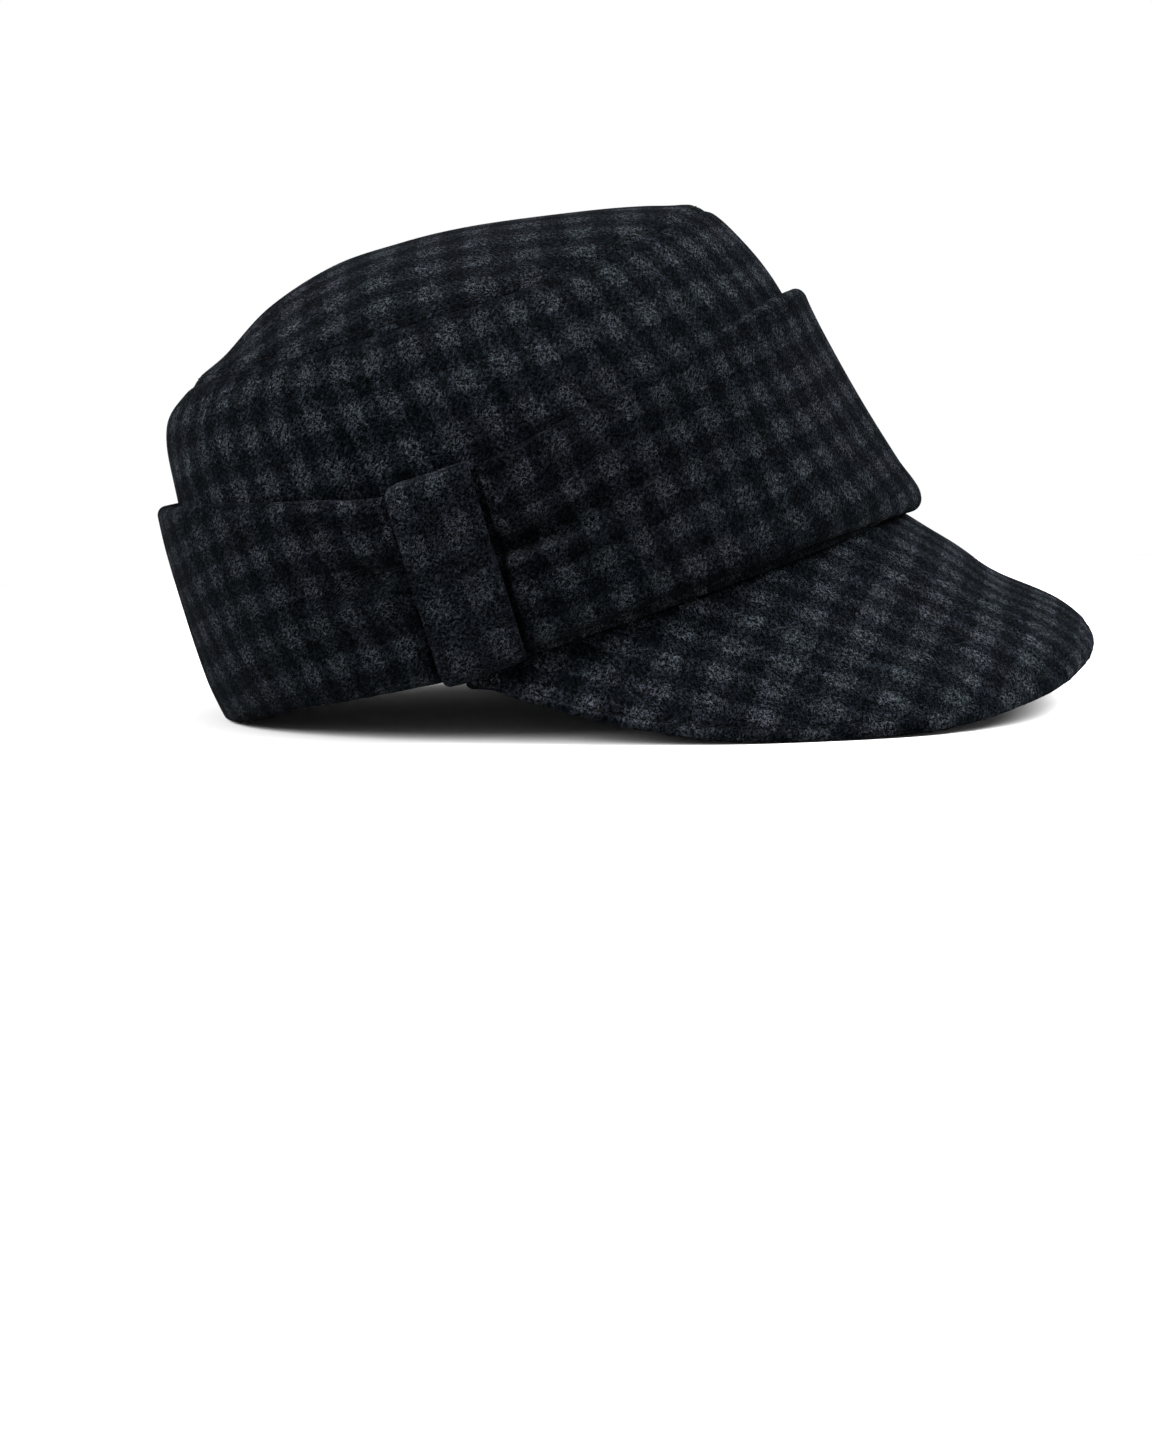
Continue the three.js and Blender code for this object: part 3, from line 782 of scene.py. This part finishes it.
def add_mesh(name, points, faces, check, material):
    """A smooth closed mesh whose vertices carry their place in the cloth's check, counted in squares."""
    faces = np.asarray(faces, np.int32)
    a, b, c, d = (points[faces[:, k]] for k in range(4))
    volume = np.sum(a * (np.cross(b, c) + np.cross(c, d)))
    if volume < 0:
        faces = faces[:, ::-1]
    mesh = bpy.data.meshes.new(name)
    mesh.vertices.add(len(points))
    mesh.vertices.foreach_set("co", points.astype(np.float32).ravel())
    mesh.loops.add(faces.size)
    mesh.loops.foreach_set("vertex_index", faces.ravel())
    mesh.polygons.add(len(faces))
    mesh.polygons.foreach_set("loop_start", np.arange(0, faces.size, 4, dtype=np.int32))
    mesh.polygons.foreach_set("use_smooth", np.ones(len(faces), bool))
    mesh.update(calc_edges=True)
    mesh.validate()
    attribute = mesh.attributes.new("check", "FLOAT_VECTOR", "POINT")
    values = np.zeros((len(points), 3), np.float32)
    values[:, :2] = check
    attribute.data.foreach_set("vector", values.ravel())
    mesh.materials.append(material)
    thing = bpy.data.objects.new(name, mesh)
    bpy.context.scene.collection.objects.link(thing)
    return thing


def grid_faces(rows, columns, wrap_rows, wrap_columns):
    r = np.arange(rows if wrap_rows else rows - 1)[:, None]
    c = np.arange(columns if wrap_columns else columns - 1)[None, :]
    r1, c1 = (r + 1) % rows, (c + 1) % columns
    corners = [r * columns + c, r * columns + c1, r1 * columns + c1, r1 * columns + c]
    return np.stack(np.broadcast_arrays(*corners), -1).reshape(-1, 4)


def ring_cloth(outer, inner, cloth):
    """Rows for a wall whose two faces join at both rims, with the outer face's coordinates on both."""
    return np.concatenate([outer, inner[::-1]]), np.concatenate([cloth, cloth[::-1]])


def sheet_rows(top, under, cloth):
    """One closed loop of points for each line of an open sheet."""
    return np.concatenate([top, under[:, ::-1]], axis=1), np.concatenate([cloth, cloth[:, ::-1]], axis=1)


def pole_fan(ring, pole, last):
    """Faces that close a ring of an even number of vertices onto one vertex."""
    middle = ring[1::2]
    fan = np.stack([np.full(len(middle), pole), ring[0::2], middle, np.roll(ring[0::2], -1)], -1)
    return fan if last else fan[:, ::-1]


def end_caps(rows, loop):
    """Faces that close a tube made of sheet loops at its first and last loop."""
    width = loop // 2
    k = np.arange(width - 1)
    first = np.stack([k, loop - 1 - k, loop - 2 - k, k + 1], -1)
    last = first[:, ::-1] + (rows - 1) * loop
    return np.concatenate([first, last])


# Cloth materials

CHECK = table(
    "across across_lean across_start along along_lean along_start",
    (11.4, -9.0, 0.88, 14.8, 89.0, 0.64),
    (11.4, 7.0, 0.10, 14.4, 97.0, 0.37),
    (11.0, -6.0, 0.75, 11.9, 84.0, 0.30),
    (11.9, -4.5, 0.61, 15.8, 85.5, 0.41),
    (9.7, 1.1, 0.50, 15.2, 95.8, 0.54),
)
CHECK_ROWS = ("crown_side", "crown_tip", "cuff", "keeper_loop", "peak")


def check_place(piece, cloth):
    """Where points of a piece's cloth lie in its check: a light square is centred on each whole number."""
    row = {name: values[CHECK_ROWS.index(piece)] for name, values in CHECK.items()}
    places = []
    for name in ("across", "along"):
        lean = math.radians(row[name + "_lean"])
        moved = cloth[..., 0] * math.cos(lean) + cloth[..., 1] * math.sin(lean)
        places.append(moved / row[name] + row[name + "_start"])
    return np.stack(places, -1)


DARK_WOOL = (0.0009, 0.0012, 0.0016)
MIDDLE_WOOL = (0.0022, 0.0027, 0.0034)
LIGHT_WOOL = (0.0054, 0.0063, 0.0074)
STRAP_DARK_WOOL = (0.0015, 0.0018, 0.0024)
STRAP_LIGHT_WOOL = (0.0048, 0.0056, 0.0067)
BLACK_THREAD = (0.0016, 0.0017, 0.0020)

# Half the width of the check's bands, in squares, from full to faded, and how far the nap frays them
BAND_FULL = 0.20
BAND_FADED = 0.31
BAND_FRAY = 0.42


class Nodes:
    """A material's node tree, built a node at a time."""

    def __init__(self, name):
        self.material = bpy.data.materials.new(name)
        self.material.use_nodes = True
        self.tree = self.material.node_tree
        self.shader = self.tree.nodes["Principled BSDF"]

    def add(self, kind, **settings):
        node = self.tree.nodes.new("ShaderNode" + kind)
        for key, value in settings.items():
            setattr(node, key, value)
        return node

    def feed(self, socket, value):
        if isinstance(value, bpy.types.NodeSocket):
            self.tree.links.new(value, socket)
        else:
            socket.default_value = value

    def math(self, operation, a, b=0.0, c=0.0):
        node = self.add("Math", operation=operation)
        for socket, value in zip(node.inputs, (a, b, c)):
            self.feed(socket, value)
        return node.outputs[0]

    def step(self, value, start, end, low=0.0, high=1.0):
        """low before start, high after end, smooth between them."""
        node = self.add("MapRange", interpolation_type="SMOOTHSTEP")
        keys = ("Value", "From Min", "From Max", "To Min", "To Max")
        for key, v in zip(keys, (value, start, end, low, high)):
            self.feed(node.inputs[key], v)
        return node.outputs["Result"]

    def noise(self, vector, scale, detail=2.0, roughness=0.5, distortion=0.0):
        node = self.add("TexNoise")
        self.feed(node.inputs["Vector"], vector)
        keys = ("Scale", "Detail", "Roughness", "Distortion")
        for key, v in zip(keys, (scale, detail, roughness, distortion)):
            node.inputs[key].default_value = v
        return node.outputs["Fac"]

    def mix(self, factor, a, b, blend="MIX"):
        node = self.add("Mix", data_type="RGBA", blend_type=blend)
        self.feed(node.inputs["Factor"], factor)
        self.feed(node.inputs["A"], a)
        self.feed(node.inputs["B"], b)
        return node.outputs["Result"]

    def stretched(self, vector, scale, turn):
        node = self.add("Mapping", vector_type="TEXTURE")
        self.feed(node.inputs["Vector"], vector)
        node.inputs["Scale"].default_value = scale
        node.inputs["Rotation"].default_value = turn
        return node.outputs["Vector"]


def opaque(colour):
    return (*colour, 1.0)


def wool_material(name, painted_light_scale=1.0, colours=(DARK_WOOL, MIDDLE_WOOL, LIGHT_WOOL)):
    """Brushed woollen flannel: soft-edged checks, light fibre ends over dark cloth, and a raised nap.

    The cloth is plain where it has no light colour. A gain above 1 paints light into the whole cloth and one
    below 1 paints shade, so the pieces become lit and shaded copies of one wool.
    """
    n = Nodes(name)
    place = n.add("TexCoord").outputs["Object"]
    check = n.add("Attribute", attribute_name="check").outputs["Vector"]
    split = n.add("SeparateXYZ")
    n.feed(split.inputs[0], check)

    # The check: two sets of bands, their edges broken up by the brushing
    fray = n.noise(place, 560.0, 2.0)
    waver = n.noise(place, 60.0, 1.0)

    def bands(coordinate, lean):
        moved = n.math("MULTIPLY_ADD", fray, BAND_FRAY, coordinate)
        moved = n.math("MULTIPLY_ADD", waver, lean, moved)
        moved = n.math("SUBTRACT", moved, BAND_FRAY / 2 + lean / 2)
        return n.step(n.math("PINGPONG", moved, 0.5), BAND_FULL, BAND_FADED, 1.0, 0.0)

    dark, middle, light = colours
    if light is not None:
        weft = bands(split.outputs[0], 0.22)
        warp = bands(split.outputs[1], -0.20)
        both = n.math("MULTIPLY", weft, warp)
        either = n.math("MAXIMUM", weft, warp)
        colour = n.mix(either, opaque(dark), opaque(middle))
        colour = n.mix(both, colour, opaque(light))
    else:
        colour = n.mix(waver, opaque(dark), opaque(middle))

    # Fibre ends: short curled light flecks lying in two directions, over darker gaps
    fleck_one = n.noise(n.stretched(place, (1.0, 0.45, 1.0), (0.4, 0.2, 0.6)), 1000.0, 2.0, 0.6, 1.0)
    fleck_two = n.noise(n.stretched(place, (0.45, 1.0, 0.6), (0.3, 0.9, 0.2)), 880.0, 2.0, 0.6, 1.2)
    flecks = n.math("MAXIMUM", fleck_one, fleck_two)
    # The fibre flecks are scaled by the piece's gain: painted light above 1, painted shade below 1.
    flecks_and_painted_light = n.step(flecks, 0.48, 0.76, 0.12 * painted_light_scale, 5.4 * painted_light_scale)
    patches = n.step(n.noise(place, 140.0, 3.0, 0.6), 0.25, 0.75, 0.72, 1.30)
    scaled = n.add("VectorMath", operation="SCALE")
    n.feed(scaled.inputs[0], colour)
    n.feed(scaled.inputs["Scale"], n.math("MULTIPLY", flecks_and_painted_light, patches))
    tint = n.step(n.noise(place, 38.0, 1.0), 0.35, 0.65)
    hue = n.mix(tint, opaque((0.95, 1.01, 1.0)), opaque((1.03, 0.98, 1.03)))
    colour = n.mix(1.0, scaled.outputs[0], hue, "MULTIPLY")
    n.feed(n.shader.inputs["Base Color"], colour)

    # The nap: fine tufts over a faint diagonal twill
    twill = n.add("VectorMath", operation="DOT_PRODUCT")
    n.feed(twill.inputs[0], check)
    twill.inputs[1].default_value = (48.0, 62.0, 0.0)
    ribs = n.math("SINE", twill.outputs["Value"])
    nap = n.math("MULTIPLY_ADD", ribs, 0.08, flecks)
    nap = n.math("MULTIPLY_ADD", fray, 0.5, nap)
    bump = n.add("Bump")
    bump.inputs["Strength"].default_value = 0.9
    bump.inputs["Distance"].default_value = 0.0008
    n.feed(bump.inputs["Height"], nap)
    n.feed(n.shader.inputs["Normal"], bump.outputs[0])
    n.feed(n.shader.inputs["Roughness"], n.step(flecks, 0.4, 0.8, 1.0, 0.85))
    n.shader.inputs["Specular IOR Level"].default_value = 0.003
    n.shader.inputs["Sheen Weight"].default_value = 0.005
    n.shader.inputs["Sheen Roughness"].default_value = 0.5
    n.shader.inputs["Sheen Tint"].default_value = (0.66, 0.72, 0.78, 1.0)
    return n.material


def plain_material(name, colour, roughness, shine, grain_scale):
    """Dark sewing thread or a pale floor, with a faint unevenness."""
    n = Nodes(name)
    place = n.add("TexCoord").outputs["Object"]
    grain = n.noise(place, grain_scale, 2.0)
    darker = tuple(0.94 * v for v in colour)
    n.feed(n.shader.inputs["Base Color"], n.mix(grain, opaque(colour), opaque(darker)))
    n.shader.inputs["Roughness"].default_value = roughness
    n.shader.inputs["Specular IOR Level"].default_value = shine
    return n.material


# Pieces

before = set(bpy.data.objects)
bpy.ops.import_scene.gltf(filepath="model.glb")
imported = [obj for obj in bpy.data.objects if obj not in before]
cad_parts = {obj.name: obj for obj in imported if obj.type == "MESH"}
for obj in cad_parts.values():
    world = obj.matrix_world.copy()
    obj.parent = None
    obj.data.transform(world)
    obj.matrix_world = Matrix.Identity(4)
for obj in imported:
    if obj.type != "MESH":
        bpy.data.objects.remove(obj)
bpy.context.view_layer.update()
SHIFT = resting_shift()


def add_piece(name, rows, check, wrap_rows, material, extra_faces=None, close_poles=False):
    """One piece of cloth: rows of points, each row joined round, and what closes its first and last row."""
    count, width = rows.shape[:2]
    faces = grid_faces(count, width, wrap_rows, True)
    points, check = rows.reshape(-1, 3), check.reshape(-1, 2)
    if close_poles:
        for ring in (np.arange(width), np.arange(width) + (count - 1) * width):
            faces = np.concatenate([faces, pole_fan(ring, len(points), ring[0] > 0)])
            points = np.concatenate([points, points[ring].mean(0, keepdims=True)])
            check = np.concatenate([check, check[ring].mean(0, keepdims=True)])
    if extra_faces is not None:
        faces = np.concatenate([faces, extra_faces])
    return add_thing(name + "_cloth", laid_down(points, SHIFT), faces, check, material, name)


def add_thing(name, points, faces, check, material, stands_for=None):
    thing = add_mesh(name, points, faces, check, material)
    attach(thing, "root")
    if stands_for is not None:
        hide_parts(stands_for)
    return thing


wool = wool_material("checked_wool")
# The cuff's wool is the crown's darkened by 0.84: painted shade, since the upright cuff gets less light than
# the crown.
cuff_wool_painted_shade = wool_material("cuff_wool_painted_shade", 0.84)
# The strap's wool has a softer check of its own, and is lightened by 1.08 as painted light, since the lamps
# leave the upright loop darker than the cloth beside it.
strap_wool_painted_light = wool_material("strap_wool_painted_light", 1.08, (STRAP_DARK_WOOL, MIDDLE_WOOL, STRAP_LIGHT_WOOL))
# The peak's wool is the crown's lightened by 1.14: painted light on the upward-facing peak.
peak_wool_painted_light = wool_material("peak_wool_painted_light", 1.14)
# The peak's under cloth is plain dark wool without light squares, and is darkened further by 0.9 as painted
# shade so the peak's rim reads black.
under_wool = wool_material("under_wool", 0.9, (DARK_WOOL, MIDDLE_WOOL, None))
thread = plain_material("black_thread", BLACK_THREAD, 0.8, 0.03, 900.0)

outer, inner, cloth = crown_side_sheet()
rows, cloth = ring_cloth(outer, inner, cloth)
add_piece("crown_side", rows, check_place("crown_side", cloth), True, wool)

tip_outer, tip_inner, tip_cloth = crown_tip_sheet()
rows, cloth = ring_cloth(tip_outer[::-1], tip_inner[::-1], tip_cloth[::-1])
add_piece("crown_tip", rows, check_place("crown_tip", cloth), False, wool, close_poles=True)

cuff_points, _, _ = cuff_section(CUFF_RING, cuff_relief)
girth = arc_length(cuff_points, 1)
around = from_front(cuff_points[:, CUFF_MIDDLE_POINT], CUFF_RING)
cuff_cloth = np.stack([np.broadcast_to(around[:, None], girth.shape), girth], -1)
add_piece("cuff", cuff_points, check_place("cuff", cuff_cloth), True, cuff_wool_painted_shade)

for side, name in ((1, "keeper_loop_right"), (-1, "keeper_loop_left")):
    rows, cloth = sheet_rows(*keeper_loop_sheet(side))
    caps = end_caps(*rows.shape[:2])
    add_piece(name, rows, check_place("keeper_loop", cloth), False, strap_wool_painted_light, caps)

rows, cloth = sheet_rows(*peak_sheet(0.0, PEAK_TOP_WOOL, True))
caps = end_caps(*rows.shape[:2])
add_piece("peak_top", rows, check_place("peak", cloth), False, peak_wool_painted_light, caps)
rows, cloth = sheet_rows(*peak_sheet(PEAK_TOP_WOOL + GAP, PEAK_UNDER_WOOL, False))
add_piece("peak_under", rows, check_place("peak", cloth), False, under_wool, caps)


# Stitches

STITCH_LENGTH = 2.3
STITCH_PITCH = 3.1
STITCH_RADIUS = 0.24
STITCH_SIDES = 6
STITCH_RISE = 0.30
STITCH_SUNK = 0.22


def stitches(line, normals):
    """Short rounded threads laid end to end along a line of points."""
    length = arc_length(line, 0)
    starts = np.arange(STITCH_PITCH / 2, length[-1] - STITCH_PITCH, STITCH_PITCH)
    shares = np.linspace(0, 1, 7)
    turn = np.radians(np.arange(STITCH_SIDES) * 360 / STITCH_SIDES)
    places = starts[:, None] + STITCH_LENGTH * shares

    def along(values):
        return np.stack([np.interp(places, length, values[:, k]) for k in range(3)], -1)

    middle, up = along(line), unit(along(normals))
    side = unit(np.cross(up, np.gradient(middle, axis=1)))
    swell = np.sqrt(np.clip(1 - (2 * shares - 1) ** 4, 0.02, 1))
    middle = middle + up * (STITCH_RISE * swell - STITCH_SUNK)[:, None]
    reach = (STITCH_RADIUS * swell)[None, :, None, None]
    turn = turn[None, None, :, None]
    round_it = np.cos(turn) * side[:, :, None] + np.sin(turn) * up[:, :, None]
    points = middle[:, :, None] + reach * round_it
    count, per_stitch = len(starts), len(shares) * STITCH_SIDES
    tube = grid_faces(len(shares), STITCH_SIDES, False, True)
    ends = np.array([(0, 3, 2, 1), (0, 5, 4, 3)])
    tail = ends[:, ::-1] + (len(shares) - 1) * STITCH_SIDES
    one = np.concatenate([tube, ends[:, ::-1], tail[:, ::-1]])
    faces = (one[None] + (np.arange(count) * per_stitch)[:, None, None]).reshape(-1, 4)
    return points.reshape(-1, 3), faces


def add_stitches(name, line, normals):
    points, faces = stitches(line, normals)
    add_thing(name, laid_down(points, SHIFT), faces, np.zeros((len(points), 2)), thread)


tip_line, tip_normal = tip_stitch_line(tip_outer, tip_inner)
add_stitches("tip_topstitch", tip_line, tip_normal)
add_stitches("peak_topstitch", *peak_stitch_line())


# Floor, light and camera

FLOOR_RADIUS = 0.75
FLOOR_GREY = (0.48, 0.48, 0.48)


def add_floor():
    mesh = bpy.data.meshes.new("floor")
    turns = np.radians(np.arange(0, 360, 5))
    corners = [(FLOOR_RADIUS * math.cos(turn), FLOOR_RADIUS * math.sin(turn), 0) for turn in turns]
    mesh.from_pydata(corners, [], [tuple(range(len(corners)))])
    mesh.materials.append(plain_material("floor_paper", FLOOR_GREY, 0.95, 0.2, 6.0))
    floor = bpy.data.objects.new("floor", mesh)
    bpy.context.scene.collection.objects.link(floor)


LIGHT_AIM = (0, 0, 0.08)


def add_light(name, place, size, power):
    light = bpy.data.lights.new(name, "AREA")
    light.shape = "DISK"
    light.size = size
    light.energy = power
    lamp = bpy.data.objects.new(name, light)
    lamp.location = place
    lamp.rotation_euler = (Vector(LIGHT_AIM) - Vector(place)).to_track_quat("-Z", "Y").to_euler()
    bpy.context.scene.collection.objects.link(lamp)


add_floor()
bpy.context.scene.view_settings.view_transform = "Standard"
world = bpy.data.worlds.new("studio")
bpy.context.scene.world = world
world.use_nodes = True
world.node_tree.nodes["Background"].inputs["Color"].default_value = (1.0, 1.0, 1.0, 1.0)
world.node_tree.nodes["Background"].inputs["Strength"].default_value = 1.0
add_light("front", (-0.1, -1.1, 1.0), 1.0, 76)
add_light("back", (-0.3, 1.15, 0.75), 0.9, 48)
add_light("overhead", (-0.1, 0.0, 1.5), 1.1, 20)

# The camera looks square on to the cap's right side, from a little above its sewn edge: it stands
# CAMERA_DISTANCE millimetres off, and the cap's own origin is seen at CAP_CENTRE_PIXEL
CAMERA_DISTANCE = 800
CAMERA_RISE = math.radians(7.0)
CAMERA_ROLL = math.radians(17.1)
FOCAL_PIXELS = 2600
SENSOR_HEIGHT = 24.0
IMAGE_WIDTH, IMAGE_HEIGHT = 1152, 1440
CAP_CENTRE_PIXEL = (572.5, 615.5)


def add_camera():
    """The cap's own frame is seen in profile; the cap and the camera are then turned together."""
    ahead = Vector((math.cos(CAMERA_RISE), 0, -math.sin(CAMERA_RISE)))
    level_right = Vector((0, -1, 0))
    level_up = Vector((math.sin(CAMERA_RISE), 0, math.cos(CAMERA_RISE)))
    right = level_right * math.cos(CAMERA_ROLL) - level_up * math.sin(CAMERA_ROLL)
    up = level_right * math.sin(CAMERA_ROLL) + level_up * math.cos(CAMERA_ROLL)
    millimetres = CAMERA_DISTANCE / FOCAL_PIXELS
    sideways = (CAP_CENTRE_PIXEL[0] - IMAGE_WIDTH / 2) * millimetres
    upward = (IMAGE_HEIGHT / 2 - CAP_CENTRE_PIXEL[1]) * millimetres
    eye = -ahead * CAMERA_DISTANCE - right * sideways - up * upward
    turn = Matrix.Rotation(-REST_TILT, 4, "X")
    axes = Matrix((right, up, -ahead)).transposed().to_4x4()
    camera = bpy.data.cameras.new("camera")
    camera.sensor_fit = "VERTICAL"
    camera.sensor_height = SENSOR_HEIGHT
    camera.lens = FOCAL_PIXELS / IMAGE_HEIGHT * SENSOR_HEIGHT
    camera.clip_start = 0.01
    thing = bpy.data.objects.new("camera", camera)
    thing.matrix_world = Matrix.Translation(Vector(SHIFT) + turn @ (eye * MM)) @ turn @ axes
    bpy.context.scene.collection.objects.link(thing)
    bpy.context.scene.camera = thing


add_camera()
